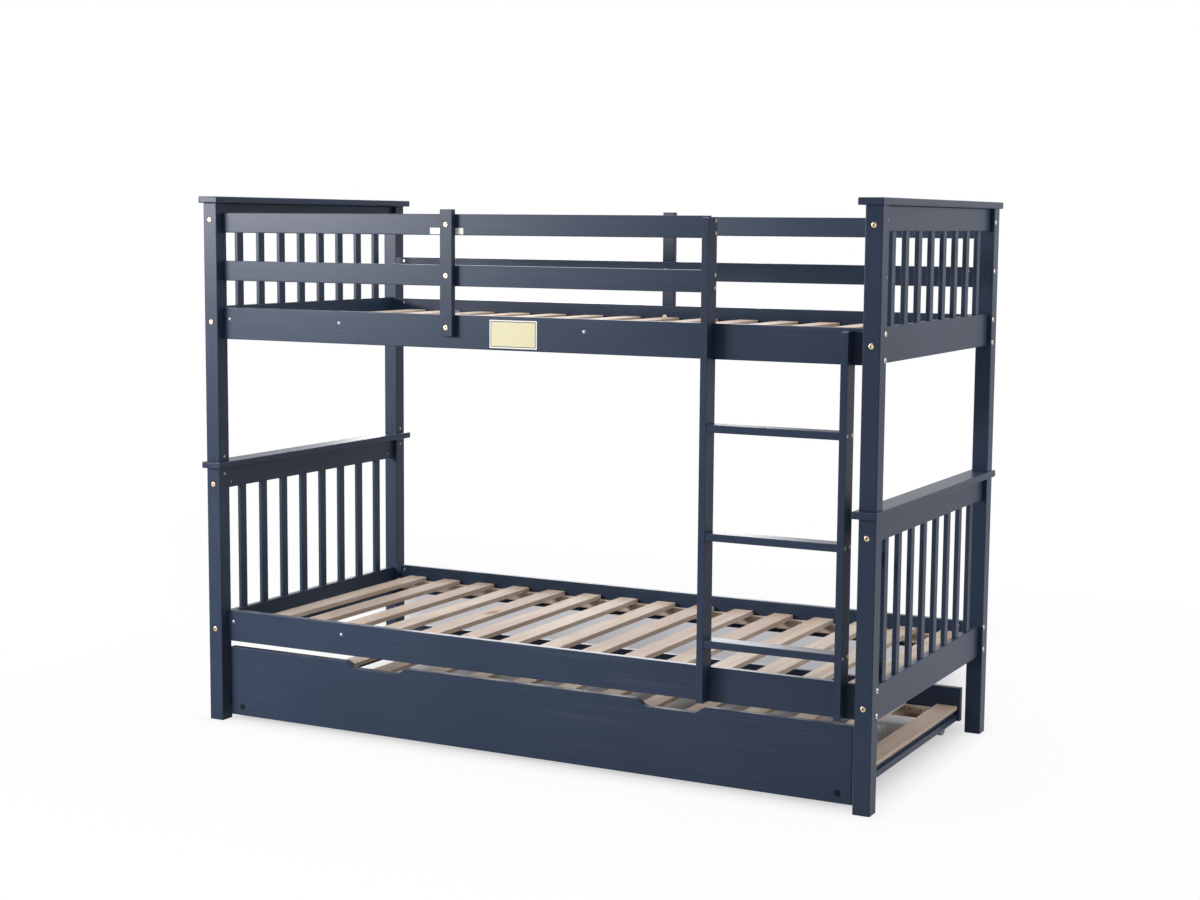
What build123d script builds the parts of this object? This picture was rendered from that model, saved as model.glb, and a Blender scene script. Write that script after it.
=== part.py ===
from build123d import *

import os
from dataclasses import dataclass

os.makedirs("parts", exist_ok=True)

# Bunk bed for two 900 x 2000 mattresses, with a low trundle bed on wheels under it.
# Lengths are in millimetres. The origin is on the floor under the middle of the bed:
# +X runs along the bed towards the ladder, -Y is the front and +Z is up.

# Sleeping bay between the posts
bay_length = 2000.0
bay_width = 906.0

# Posts, stacked in pairs at each corner
post_width = 47.0
post_length = 762.0
post_edge_radius = 2.5

# Cap boards that lie across the posts of each end
cap_thickness = 19.0
cap_overhang_outside = 6.0
cap_overhang_inside = 15.0
cap_overhang_ends = 16.0
cap_edge_radius = 3.0

# End frames: a bottom rail, a top rail under the cap and slats let into both
end_rail_thickness = 19.5
end_bottom_rail_height = 92.0
end_top_rail_height = 64.0
lower_end_rail_rise = 231.0
upper_end_rail_rise = 368.0
end_slat_count = 8
end_slat_width = 28.0
end_slat_thickness = 12.0
mortise_depth = 12.0
mortise_clearance = 0.15
board_edge_radius = 2.0

# Side rails, flush with the inner faces of the posts
side_rail_height = 93.0
side_rail_thickness = 21.0
lower_side_rail_rise = 240.0
upper_side_rail_rise = 364.0

# Slat decks on cleats along the side rails
cleat_height = 30.0
cleat_thickness = 20.0
cleat_end_gap = 10.0
lower_cleat_rise = 17.0
upper_cleat_rise = 13.5
bed_slat_count = 15
bed_slat_width = 62.0
bed_slat_thickness = 14.0
bed_slat_first_gap = 58.0
bed_slat_last_gap = 18.0
bed_slat_end_gap = 4.0
slat_edge_radius = 1.5

# Guard boards of the upper bed and the uprights that join them
guard_board_height = 58.0
guard_board_thickness = 20.0
guard_top_drop = 28.0
guard_low_gap_share = 0.49
upright_width = 40.0
upright_thickness = 18.0
upright_lap = 59.0
upright_rise = 13.0
upright_foot_bolt_rise = 24.0

# Ladder, hung on the front side rails
ladder_width = 403.0
ladder_post_gap = 33.0
stile_thickness = 19.0
stile_front_depth = 38.0
stile_tongue_depth = 15.0
stile_rail_clearance = 0.3
left_stile_drop = 4.0
right_stile_drop = 8.0
stile_corner_radius = 6.0
rung_count = 3
rung_thickness = 20.0
first_rung_rise = 77.5
last_rung_drop = 167.5
rung_setback = 1.0

# Furniture bolts with barrel nuts, screwed through the posts into the rails
bolt_diameter = 6.0
bolt_bore_clearance = 0.2
bolt_head_diameter = 15.0
bolt_head_thickness = 2.0
bolt_reach = 4.0
bolt_end_room = 2.0
nut_diameter = 10.0
nut_length = 14.0
nut_clearance = 0.1
thread_clearance = 0.05
nut_inset = 29.0
side_bolt_spread = 66.0
top_rail_bolt_rise = 15.5
guard_bolt_rise = 18.0

# Sleeve nuts behind the bolts of the guard uprights
sleeve_diameter = 8.0
sleeve_length = 12.0
sleeve_tip_gap = 3.0

# Wooden dowels that keep the rails and caps from turning on their bolts
dowel_diameter = 8.0
dowel_length = 30.0
dowel_clearance = 0.1
dowel_end_room = 0.3
bottom_rail_dowel_rise = 15.0
top_rail_dowel_drop = 16.0
guard_dowel_drop = 12.0
cap_dowel_depth = 12.0

# Steel pins that locate the upper bed on the lower one
pin_diameter = 10.0
pin_depth = 35.0
pin_clearance = 0.15
pin_end_room = 0.3

# Ladder screws with flush heads
screw_diameter = 5.0
screw_length = 50.0
screw_head_diameter = 10.0
screw_head_depth = 3.0
screw_clearance = 0.05
screw_spread = 34.0
guard_screw_spread = 33.0
guard_screw_setback = 9.0
rail_screw_spread = 50.0

# Trundle bed
trundle_end_clearance = 12.0
trundle_face_setback = 2.0
trundle_back_setback = 13.0
trundle_panel_rise = 15.0
trundle_panel_height = 207.0
trundle_panel_thickness = 20.0
trundle_frame_rise = 34.0
trundle_back_height = 100.0
trundle_back_thickness = 21.0
trundle_rail_height = 34.0
trundle_rail_thickness = 20.0
trundle_rail_inset = 8.0
trundle_rebate_depth = 9.0
trundle_rebate_height = 15.0
trundle_slat_count = 13
trundle_slat_width = 63.0
trundle_slat_thickness = 12.0
trundle_slat_first_gap = 31.5
trundle_slat_last_gap = 7.0
trundle_slat_end_gap = 4.0
grip_spacing = 940.0
grip_width = 220.0
grip_floor_width = 130.0
grip_depth = 18.5

# Casters of the trundle
wheel_radius = 20.0
wheel_width = 16.0
wheel_edge_radius = 2.5
wheel_side_gap = 0.5
wheel_dish_depth = 3.0
wheel_dish_radius = 14.0
wheel_hub_radius = 7.0
wheel_bore_clearance = 0.1
axle_diameter = 6.0
axle_clearance = 0.05
axle_head_diameter = 9.5
axle_head_thickness = 1.5
caster_inset = 54.0
bracket_thickness = 2.5
bracket_width = 34.0
bracket_foot_radius = 9.0
bracket_web_gap = 3.0
bracket_slat_gap = 3.0

# Overrun of the cuts beyond the faces they start from
overrun = 5.0

# Places worked out from the sizes above
half_bay_length = bay_length / 2
half_bay_width = bay_width / 2
half_length = half_bay_length + post_width
half_width = half_bay_width + post_width
post_x = half_bay_length + post_width / 2
post_y = half_bay_width + post_width / 2
upper_foot = post_length + cap_thickness
rail_face_y = half_bay_width + side_rail_thickness
rail_middle_y = half_bay_width + side_rail_thickness / 2
guard_middle_y = rail_face_y - guard_board_thickness / 2
bolt_bore_radius = bolt_diameter / 2 + bolt_bore_clearance
rail_bore_depth = nut_inset + nut_diameter / 2 + bolt_reach + bolt_end_room
bolt_length = post_width + nut_inset + nut_diameter / 2 + bolt_reach
end_slat_pitch = (bay_width + end_slat_width) / (end_slat_count + 1)
bed_slat_pitch = (bay_length - bed_slat_first_gap - bed_slat_last_gap - bed_slat_width) / (bed_slat_count - 1)
ends = {"left": -1, "right": 1}
sides = {"front": -1, "rear": 1}


@dataclass
class Level:
    """Heights of one bed: its posts' feet and the lower edges of its rails."""

    foot: float
    end_rail_base: float
    side_rail_base: float
    cleat_rise: float

    @property
    def head(self):
        return self.foot + post_length

    @property
    def top_rail_base(self):
        return self.head - end_top_rail_height

    @property
    def side_rail_top(self):
        return self.side_rail_base + side_rail_height

    @property
    def cleat_top(self):
        return self.side_rail_base + self.cleat_rise + cleat_height

    @property
    def end_bolt_heights(self):
        bottom_rail_middle = self.end_rail_base + end_bottom_rail_height / 2
        return (bottom_rail_middle, self.top_rail_base + top_rail_bolt_rise)

    @property
    def end_dowel_heights(self):
        bottom_rail_middle = self.end_rail_base + end_bottom_rail_height / 2
        return (bottom_rail_middle + bottom_rail_dowel_rise, self.head - top_rail_dowel_drop)

    @property
    def side_bolt_heights(self):
        middle = self.side_rail_base + side_rail_height / 2
        return (middle - side_bolt_spread / 2, middle + side_bolt_spread / 2)


lower = Level(0.0, lower_end_rail_rise, lower_side_rail_rise, lower_cleat_rise)
upper = Level(
    upper_foot,
    upper_foot + upper_end_rail_rise,
    upper_foot + upper_side_rail_rise,
    upper_cleat_rise,
)
levels = {"lower": lower, "upper": upper}

guard_top_base = upper.head - guard_top_drop - guard_board_height
guard_room = guard_top_base - guard_board_height - upper.side_rail_top
guard_low_base = upper.side_rail_top + guard_room * guard_low_gap_share
guard_bases = {"low": guard_low_base, "top": guard_top_base}
guard_middles = [base + guard_board_height / 2 for base in guard_bases.values()]
guard_bolt_heights = [middle + guard_bolt_rise for middle in guard_middles]
guard_dowel_heights = [middle - guard_dowel_drop for middle in guard_middles]

stile_right_x = half_bay_length - ladder_post_gap - stile_thickness
stile_left_x = half_bay_length - ladder_post_gap - ladder_width
stile_front_y = -rail_face_y - stile_front_depth
stile_back_y = -rail_face_y + stile_tongue_depth
rung_depth = stile_front_depth + stile_tongue_depth - rung_setback
rung_middle_y = stile_back_y - rung_depth / 2
first_rung_top = lower.side_rail_top + first_rung_rise
rung_pitch = (upper.side_rail_base - last_rung_drop - first_rung_top) / (rung_count - 1)
rung_tops = [first_rung_top + rung_pitch * i for i in range(rung_count)]
rung_middles = [top - rung_thickness / 2 for top in rung_tops]

upright_base = upper.side_rail_top - upright_lap
upright_top = guard_top_base + guard_board_height + upright_rise
upright_bolt_heights = [upright_base + upright_foot_bolt_rise] + guard_middles
upright_places = {"front": (stile_left_x - half_bay_length) / 2, "rear": 0.0}

trundle_half_length = half_bay_length - trundle_end_clearance
trundle_panel_front_y = -rail_face_y + trundle_face_setback
trundle_panel_back_y = trundle_panel_front_y + trundle_panel_thickness
trundle_back_outer_y = rail_face_y - trundle_back_setback
trundle_back_inner_y = trundle_back_outer_y - trundle_back_thickness
trundle_rail_outer_x = trundle_half_length - trundle_rail_inset
trundle_rail_inner_x = trundle_rail_outer_x - trundle_rail_thickness
trundle_middle_y = (trundle_panel_back_y + trundle_back_inner_y) / 2
trundle_bay_width = trundle_back_inner_y - trundle_panel_back_y
trundle_deck_base = trundle_frame_rise + trundle_rail_height
trundle_slat_margins = trundle_slat_first_gap + trundle_slat_last_gap
trundle_slat_room = 2 * trundle_half_length - trundle_slat_margins - trundle_slat_width
trundle_slat_pitch = trundle_slat_room / (trundle_slat_count - 1)
wheel_x = trundle_rail_inner_x - bracket_thickness - wheel_side_gap - wheel_width / 2
bracket_inner_x = wheel_x - wheel_width / 2 - wheel_side_gap - bracket_thickness
bracket_web_base = wheel_radius * 2 + bracket_web_gap
bracket_plate_top = trundle_deck_base - bracket_slat_gap
caster_places = {"front": trundle_panel_back_y + caster_inset, "rear": trundle_back_inner_y - caster_inset}


def facing_x(x):
    """Plane across the bed's length: a sketch on it reads (y, z) and grows towards +X."""
    return Plane.YZ.offset(x)


def facing_y(y):
    """Plane across the bed's depth: a sketch on it reads (x, z) and grows towards -Y."""
    return Plane.XZ.offset(-y)


def save(piece, name):
    piece.part.label = name
    export_step(piece.part, f"parts/{name}.step")


def side_rail_places(level):
    """Bolts of a level's side rails on the outer face of an end, as (y, z)."""
    return [(side * rail_middle_y, z) for side in sides.values() for z in level.side_bolt_heights]


def guard_places(end, heights):
    """Bolts or dowels of the guard boards at one end, as (y, z): the front boards start at the left."""
    held_sides = sides.values() if end < 0 else [sides["rear"]]
    return [(side * guard_middle_y, z) for side in held_sides for z in heights]


# Posts, bored across for the bolts of the rails and along for pins and dowels
def make_post(level_name, end_name, side_name):
    level = levels[level_name]
    end = ends[end_name]
    side = sides[side_name]
    with BuildPart() as post:
        with BuildSketch(Plane.XY.offset(level.foot)):
            with Locations((end * post_x, side * post_y)):
                RectangleRounded(post_width, post_width, post_edge_radius)
        extrude(amount=post_length)
        with BuildSketch(facing_y(side * post_y)):
            with Locations([(end * post_x, z) for z in level.end_bolt_heights]):
                Circle(bolt_bore_radius)
        extrude(amount=post_width, both=True, mode=Mode.SUBTRACT)
        rail_places = [(y, z) for y, z in side_rail_places(level) if y * side > 0]
        if level_name == "upper":
            rail_places += [(y, z) for y, z in guard_places(end, guard_bolt_heights) if y * side > 0]
        with BuildSketch(facing_x(end * post_x)):
            with Locations(rail_places):
                Circle(bolt_bore_radius)
        extrude(amount=post_width, both=True, mode=Mode.SUBTRACT)
        with BuildSketch(facing_y(side * half_bay_width)):
            with Locations([(end * post_x, z) for z in level.end_dowel_heights]):
                Circle(dowel_diameter / 2 + dowel_clearance)
        extrude(amount=-side * (dowel_length / 2 + dowel_end_room), mode=Mode.SUBTRACT)
        if level_name == "upper":
            dowel_places = [(y, z) for y, z in guard_places(end, guard_dowel_heights) if y * side > 0]
            if dowel_places:
                with BuildSketch(facing_x(end * half_bay_length)):
                    with Locations(dowel_places):
                        Circle(dowel_diameter / 2 + dowel_clearance)
                extrude(amount=end * (dowel_length / 2 + dowel_end_room), mode=Mode.SUBTRACT)
            with BuildSketch(Plane.XY.offset(level.head)):
                with Locations((end * post_x, side * post_y)):
                    Circle(dowel_diameter / 2 + dowel_clearance)
            extrude(amount=-(dowel_length - cap_dowel_depth + dowel_end_room), mode=Mode.SUBTRACT)
            with BuildSketch(Plane.XY.offset(level.foot)):
                with Locations((end * post_x, side * post_y)):
                    Circle(pin_diameter / 2 + pin_clearance)
            extrude(amount=pin_depth + pin_end_room, mode=Mode.SUBTRACT)
        else:
            with BuildSketch(Plane.XY.offset(level.head)):
                with Locations((end * post_x, side * post_y)):
                    Circle(pin_diameter / 2 + pin_clearance)
            extrude(amount=-(pin_depth + pin_end_room), mode=Mode.SUBTRACT)
    save(post, f"{level_name}_post_{side_name}_{end_name}")


# Cap boards: the lower ones are bored through for the pins, the upper ones from below for dowels
def make_cap(level_name, end_name):
    level = levels[level_name]
    end = ends[end_name]
    cap_width = post_width + cap_overhang_outside + cap_overhang_inside
    cap_x = end * (post_x + (cap_overhang_outside - cap_overhang_inside) / 2)
    with BuildPart() as cap:
        with BuildSketch(Plane.XY.offset(level.head)):
            with Locations((cap_x, 0)):
                Rectangle(cap_width, 2 * (half_width + cap_overhang_ends))
        extrude(amount=cap_thickness)
        fillet(cap.edges(), cap_edge_radius)
        with BuildSketch(Plane.XY.offset(level.head)):
            with Locations((end * post_x, -post_y), (end * post_x, post_y)):
                if level_name == "lower":
                    Circle(pin_diameter / 2 + pin_clearance)
                else:
                    Circle(dowel_diameter / 2 + dowel_clearance)
        cap_bore_depth = cap_thickness if level_name == "lower" else cap_dowel_depth + dowel_end_room
        extrude(amount=cap_bore_depth, mode=Mode.SUBTRACT)
    save(cap, f"{level_name}_cap_{end_name}")


# End rails: mortises for the slats, and bores for a bolt, its barrel nut and a dowel at each end
def make_end_rail(level_name, end_name, kind):
    level = levels[level_name]
    end = ends[end_name]
    is_top = kind == "top"
    base = level.top_rail_base if is_top else level.end_rail_base
    height = end_top_rail_height if is_top else end_bottom_rail_height
    bolt_z = level.end_bolt_heights[1] if is_top else level.end_bolt_heights[0]
    dowel_z = level.end_dowel_heights[1] if is_top else level.end_dowel_heights[0]
    inner_x = end * (post_x - end_rail_thickness / 2)
    mortise_thickness = end_slat_thickness + 2 * mortise_clearance
    mortise_width = end_slat_width + 2 * mortise_clearance
    with BuildPart() as rail:
        with BuildSketch(facing_y(0)):
            with Locations((end * post_x, base + height / 2)):
                RectangleRounded(end_rail_thickness, height, board_edge_radius)
        extrude(amount=half_bay_width, both=True)
        with BuildSketch(Plane.XY.offset(base if is_top else base + height)):
            with Locations((end * post_x, 0)):
                with GridLocations(0, end_slat_pitch, 1, end_slat_count):
                    Rectangle(mortise_thickness, mortise_width)
        extrude(amount=mortise_depth if is_top else -mortise_depth, mode=Mode.SUBTRACT)
        for side in sides.values():
            with BuildSketch(facing_y(side * half_bay_width)):
                with Locations((end * post_x, bolt_z)):
                    Circle(bolt_bore_radius)
            extrude(amount=side * rail_bore_depth, mode=Mode.SUBTRACT)
            with BuildSketch(facing_y(side * half_bay_width)):
                with Locations((end * post_x, dowel_z)):
                    Circle(dowel_diameter / 2 + dowel_clearance)
            extrude(amount=side * (dowel_length / 2 + dowel_end_room), mode=Mode.SUBTRACT)
        with BuildSketch(facing_x(inner_x)):
            with Locations([(side * (half_bay_width - nut_inset), bolt_z) for side in sides.values()]):
                Circle(nut_diameter / 2 + nut_clearance)
        extrude(amount=end * (end_rail_thickness + nut_length) / 2, mode=Mode.SUBTRACT)
    save(rail, f"{level_name}_end_{kind}_rail_{end_name}")


# Upright slats of an end frame, their ends let into the mortises
def make_end_slats(level_name, end_name):
    level = levels[level_name]
    slat_base = level.end_rail_base + end_bottom_rail_height - mortise_depth
    slat_top = level.top_rail_base + mortise_depth - mortise_clearance
    with BuildPart() as slats:
        with BuildSketch(Plane.XY.offset(slat_base)):
            with Locations((ends[end_name] * post_x, 0)):
                with GridLocations(0, end_slat_pitch, 1, end_slat_count):
                    RectangleRounded(end_slat_thickness, end_slat_width, slat_edge_radius)
        extrude(amount=slat_top - slat_base)
    save(slats, f"{level_name}_end_slats_{end_name}")


# Side rails: two bolts with barrel nuts at each end
def make_side_rail(level_name, side_name):
    level = levels[level_name]
    side = sides[side_name]
    upright_x = upright_places[side_name]
    with BuildPart() as rail:
        with BuildSketch(facing_x(0)):
            with Locations((side * rail_middle_y, level.side_rail_base + side_rail_height / 2)):
                RectangleRounded(side_rail_thickness, side_rail_height, board_edge_radius)
        extrude(amount=half_bay_length, both=True)
        for end in ends.values():
            with BuildSketch(facing_x(end * half_bay_length)):
                with Locations([(side * rail_middle_y, z) for z in level.side_bolt_heights]):
                    Circle(bolt_bore_radius)
            extrude(amount=-end * rail_bore_depth, mode=Mode.SUBTRACT)
        with BuildSketch(facing_y(side * half_bay_width)):
            with Locations([
                (end * (half_bay_length - nut_inset), z)
                for end in ends.values() for z in level.side_bolt_heights
            ]):
                Circle(nut_diameter / 2 + nut_clearance)
        extrude(amount=-side * (side_rail_thickness + nut_length) / 2, mode=Mode.SUBTRACT)
        if level_name == "upper":
            with BuildSketch(facing_y(side * half_bay_width)):
                with Locations((upright_x, upright_bolt_heights[0])):
                    Circle(bolt_bore_radius)
            extrude(amount=-side * side_rail_thickness, mode=Mode.SUBTRACT)
            with BuildSketch(facing_y(side * half_bay_width)):
                with Locations((upright_x, upright_bolt_heights[0])):
                    Circle(sleeve_diameter / 2 + nut_clearance)
            extrude(amount=-side * (sleeve_length + bolt_bore_clearance), mode=Mode.SUBTRACT)
        if side_name == "front":
            with BuildSketch(facing_y(-half_bay_width)):
                with Locations(ladder_rail_screw_places(level)):
                    Circle(screw_diameter / 2 + screw_clearance)
            extrude(amount=side_rail_thickness, mode=Mode.SUBTRACT)
            with BuildSketch(facing_y(-half_bay_width)):
                with Locations(ladder_rail_screw_places(level)):
                    Circle(screw_head_diameter / 2 + screw_clearance)
            extrude(amount=screw_head_depth, mode=Mode.SUBTRACT)
    save(rail, f"{level_name}_side_rail_{side_name}")


def ladder_rail_screw_places(level, stiles_x=(stile_left_x, stile_right_x)):
    """Screws through a front side rail into the ladder's stiles, as (x, z)."""
    middle_z = level.side_rail_base + side_rail_height / 2
    return [
        (x + stile_thickness / 2, middle_z + direction * rail_screw_spread / 2)
        for x in stiles_x for direction in (-1, 1)
    ]


# Cleats along the side rails, one under each end of the slats
def make_bed_cleats():
    with BuildPart() as cleats:
        with BuildSketch(facing_x(0)):
            for level in levels.values():
                for side in sides.values():
                    middle_y = side * (half_bay_width - cleat_thickness / 2)
                    with Locations((middle_y, level.cleat_top - cleat_height / 2)):
                        RectangleRounded(cleat_thickness, cleat_height, slat_edge_radius)
        extrude(amount=half_bay_length - cleat_end_gap, both=True)
    save(cleats, "bed_cleats")


# Slat deck of one bed
def make_bed_slats(level_name):
    level = levels[level_name]
    first_x = -half_bay_length + bed_slat_first_gap + bed_slat_width / 2
    with BuildPart() as slats:
        with BuildSketch(facing_y(0)):
            with Locations([
                (first_x + bed_slat_pitch * i, level.cleat_top + bed_slat_thickness / 2)
                for i in range(bed_slat_count)
            ]):
                RectangleRounded(bed_slat_width, bed_slat_thickness, slat_edge_radius)
        extrude(amount=half_bay_width - bed_slat_end_gap, both=True)
    save(slats, f"{level_name}_bed_slats")


# Guard boards: the rear ones run from post to post, the front ones from the left post to the ladder
def make_guard_board(side_name, height_name):
    side = sides[side_name]
    base = guard_bases[height_name]
    middle_z = base + guard_board_height / 2
    right_x = stile_left_x if side_name == "front" else half_bay_length
    inner_y = side * (rail_face_y - guard_board_thickness)
    held_ends = [-1] if side_name == "front" else [-1, 1]
    nut_places = [(end * (half_bay_length - nut_inset), middle_z + guard_bolt_rise) for end in held_ends]
    upright_x = upright_places[side_name]
    with BuildPart() as board:
        with BuildSketch(facing_x(-half_bay_length)):
            with Locations((side * guard_middle_y, middle_z)):
                RectangleRounded(guard_board_thickness, guard_board_height, board_edge_radius)
        extrude(amount=right_x + half_bay_length)
        for end in held_ends:
            with BuildSketch(facing_x(end * half_bay_length)):
                with Locations((side * guard_middle_y, middle_z + guard_bolt_rise)):
                    Circle(bolt_bore_radius)
            extrude(amount=-end * rail_bore_depth, mode=Mode.SUBTRACT)
            with BuildSketch(facing_x(end * half_bay_length)):
                with Locations((side * guard_middle_y, middle_z - guard_dowel_drop)):
                    Circle(dowel_diameter / 2 + dowel_clearance)
            extrude(amount=-end * (dowel_length / 2 + dowel_end_room), mode=Mode.SUBTRACT)
        with BuildSketch(facing_y(inner_y)):
            with Locations(nut_places):
                Circle(nut_diameter / 2 + nut_clearance)
        extrude(amount=-side * (guard_board_thickness + nut_length) / 2, mode=Mode.SUBTRACT)
        with BuildSketch(facing_y(inner_y)):
            with Locations((upright_x, middle_z)):
                Circle(bolt_bore_radius)
        extrude(amount=-side * guard_board_thickness, mode=Mode.SUBTRACT)
        with BuildSketch(facing_y(inner_y)):
            with Locations((upright_x, middle_z)):
                Circle(sleeve_diameter / 2 + nut_clearance)
        extrude(amount=-side * (sleeve_length + bolt_bore_clearance), mode=Mode.SUBTRACT)
        if side_name == "front":
            with BuildSketch(facing_x(stile_left_x)):
                with Locations(guard_screw_places(middle_z)):
                    Circle(screw_diameter / 2 + screw_clearance)
            extrude(amount=-(screw_length - stile_thickness + bolt_end_room), mode=Mode.SUBTRACT)
    save(board, f"guard_board_{side_name}_{height_name}")


def guard_screw_places(middle_z):
    """Screws through the left stile into the end of a guard board, as (y, z)."""
    y = -rail_face_y + guard_screw_setback
    return [(y, middle_z - guard_screw_spread / 2), (y, middle_z + guard_screw_spread / 2)]


# Upright that ties the guard boards to the side rail
def make_guard_upright(side_name):
    side = sides[side_name]
    with BuildPart() as upright:
        with BuildSketch(Plane.XY.offset(upright_base)):
            with Locations((upright_places[side_name], side * (rail_face_y + upright_thickness / 2))):
                RectangleRounded(upright_width, upright_thickness, board_edge_radius)
        extrude(amount=upright_top - upright_base)
        with BuildSketch(facing_y(side * rail_face_y)):
            with Locations([(upright_places[side_name], z) for z in upright_bolt_heights]):
                Circle(bolt_bore_radius)
        extrude(amount=-side * upright_thickness, mode=Mode.SUBTRACT)
    save(upright, f"guard_upright_{side_name}")


# Ladder stiles: a tongue behind the front part stands on the lower rail and is notched round the upper one
def make_ladder_stile(end_name):
    is_left = end_name == "left"
    base_x = stile_left_x if is_left else stile_right_x
    foot_z = lower.side_rail_base
    tongue_foot_z = lower.side_rail_top
    notch_base_z = upper.side_rail_base - stile_rail_clearance
    notch_top_z = upper.side_rail_top + stile_rail_clearance
    front_y = stile_front_y
    seat_y = -rail_face_y
    back_y = stile_back_y
    if is_left:
        top_z = guard_top_base + guard_board_height - left_stile_drop
        upper_corners = [(seat_y, notch_top_z), (back_y, notch_top_z), (back_y, top_z), (front_y, top_z)]
    else:
        top_z = upper.side_rail_top - right_stile_drop
        upper_corners = [(seat_y, top_z), (front_y, top_z)]
    corners = [(front_y, foot_z), (seat_y, foot_z), (seat_y, tongue_foot_z), (back_y, tongue_foot_z)]
    corners += [(back_y, notch_base_z), (seat_y, notch_base_z)] + upper_corners
    outer_x = base_x if is_left else base_x + stile_thickness
    inward = 1 if is_left else -1
    rung_screws = [
        (rung_middle_y + direction * screw_spread / 2, z) for z in rung_middles for direction in (-1, 1)
    ]
    with BuildPart() as stile:
        with BuildSketch(facing_x(base_x)) as outline:
            with BuildLine():
                Polyline(corners, close=True)
            make_face()
            fillet(outline.vertices().group_by(Axis.X)[0], stile_corner_radius)
        extrude(amount=stile_thickness)
        with BuildSketch(facing_x(outer_x)):
            with Locations(rung_screws):
                Circle(screw_diameter / 2 + screw_clearance)
        extrude(amount=inward * stile_thickness, mode=Mode.SUBTRACT)
        with BuildSketch(facing_x(outer_x)):
            with Locations(rung_screws):
                Circle(screw_head_diameter / 2 + screw_clearance)
        extrude(amount=inward * screw_head_depth, mode=Mode.SUBTRACT)
        for level in levels.values():
            with BuildSketch(facing_y(seat_y)):
                with Locations(ladder_rail_screw_places(level, [base_x])):
                    Circle(screw_diameter / 2 + screw_clearance)
            extrude(amount=screw_length - side_rail_thickness + bolt_end_room, mode=Mode.SUBTRACT)
        if is_left:
            guard_screws = [place for middle_z in guard_middles for place in guard_screw_places(middle_z)]
            with BuildSketch(facing_x(base_x)):
                with Locations(guard_screws):
                    Circle(screw_diameter / 2 + screw_clearance)
            extrude(amount=stile_thickness, mode=Mode.SUBTRACT)
            with BuildSketch(facing_x(base_x + stile_thickness)):
                with Locations(guard_screws):
                    Circle(screw_head_diameter / 2 + screw_clearance)
            extrude(amount=-screw_head_depth, mode=Mode.SUBTRACT)
    save(stile, f"ladder_stile_{end_name}")


# Ladder rungs between the stiles, bored at each end for two screws
def make_ladder_rungs():
    left_x = stile_left_x + stile_thickness
    rung_length = stile_right_x - left_x
    with BuildPart() as rungs:
        with BuildSketch(facing_x(left_x)):
            with Locations([(rung_middle_y, z) for z in rung_middles]):
                RectangleRounded(rung_depth, rung_thickness, board_edge_radius)
        extrude(amount=rung_length)
        for x, inward in ((left_x, 1), (stile_right_x, -1)):
            with BuildSketch(facing_x(x)):
                with Locations([
                    (rung_middle_y + direction * screw_spread / 2, z)
                    for z in rung_middles for direction in (-1, 1)
                ]):
                    Circle(screw_diameter / 2 + screw_clearance)
            extrude(amount=inward * (screw_length - stile_thickness + bolt_end_room), mode=Mode.SUBTRACT)
    save(rungs, "ladder_rungs")


# Bolts that hold the end rails: heads on the front and rear faces of the posts
def make_end_rail_bolts():
    heights = [z for level in levels.values() for z in level.end_bolt_heights]
    places = [(end * post_x, z) for end in ends.values() for z in heights]
    with BuildPart() as bolts:
        for side in sides.values():
            with BuildSketch(facing_y(side * half_width)):
                with Locations(places):
                    Circle(bolt_head_diameter / 2)
            extrude(amount=-side * bolt_head_thickness)
            with BuildSketch(facing_y(side * half_width)):
                with Locations(places):
                    Circle(bolt_diameter / 2)
            extrude(amount=side * bolt_length)
    save(bolts, "end_rail_bolts")


# Bolts that hold the side rails and guard boards: heads on the outer faces of the ends
def make_side_rail_bolts():
    with BuildPart() as bolts:
        for end in ends.values():
            places = guard_places(end, guard_bolt_heights)
            for level in levels.values():
                places += side_rail_places(level)
            with BuildSketch(facing_x(end * half_length)):
                with Locations(places):
                    Circle(bolt_head_diameter / 2)
            extrude(amount=end * bolt_head_thickness)
            with BuildSketch(facing_x(end * half_length)):
                with Locations(places):
                    Circle(bolt_diameter / 2)
            extrude(amount=-end * bolt_length)
    save(bolts, "side_rail_bolts")


# Barrel nuts that lie across the rails and boards, threaded by the bolts
def make_barrel_nuts():
    thread_radius = bolt_diameter / 2 + thread_clearance
    end_nut_heights = [z for level in levels.values() for z in level.end_bolt_heights]
    end_nut_depths = [side * (half_bay_width - nut_inset) for side in sides.values()]
    with BuildPart() as nuts:
        for end in ends.values():
            with BuildSketch(facing_x(end * post_x)):
                with Locations([(y, z) for y in end_nut_depths for z in end_nut_heights]):
                    Circle(nut_diameter / 2)
            extrude(amount=nut_length / 2, both=True)
        for side in sides.values():
            with BuildSketch(facing_y(side * rail_middle_y)):
                with Locations([
                    (end * (half_bay_length - nut_inset), z)
                    for end in ends.values() for level in levels.values() for z in level.side_bolt_heights
                ]):
                    Circle(nut_diameter / 2)
            extrude(amount=nut_length / 2, both=True)
            held_ends = [-1] if side < 0 else [-1, 1]
            with BuildSketch(facing_y(side * guard_middle_y)):
                with Locations([
                    (end * (half_bay_length - nut_inset), z) for end in held_ends for z in guard_bolt_heights
                ]):
                    Circle(nut_diameter / 2)
            extrude(amount=nut_length / 2, both=True)
        with BuildSketch(facing_y(0)):
            with Locations([(end * post_x, z) for end in ends.values() for z in end_nut_heights]):
                Circle(thread_radius)
        extrude(amount=half_bay_width, both=True, mode=Mode.SUBTRACT)
        with BuildSketch(facing_x(0)):
            with Locations(
                side_rail_places(lower) + side_rail_places(upper) + guard_places(-1, guard_bolt_heights)
            ):
                Circle(thread_radius)
        extrude(amount=half_bay_length, both=True, mode=Mode.SUBTRACT)
    save(nuts, "barrel_nuts")


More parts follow.
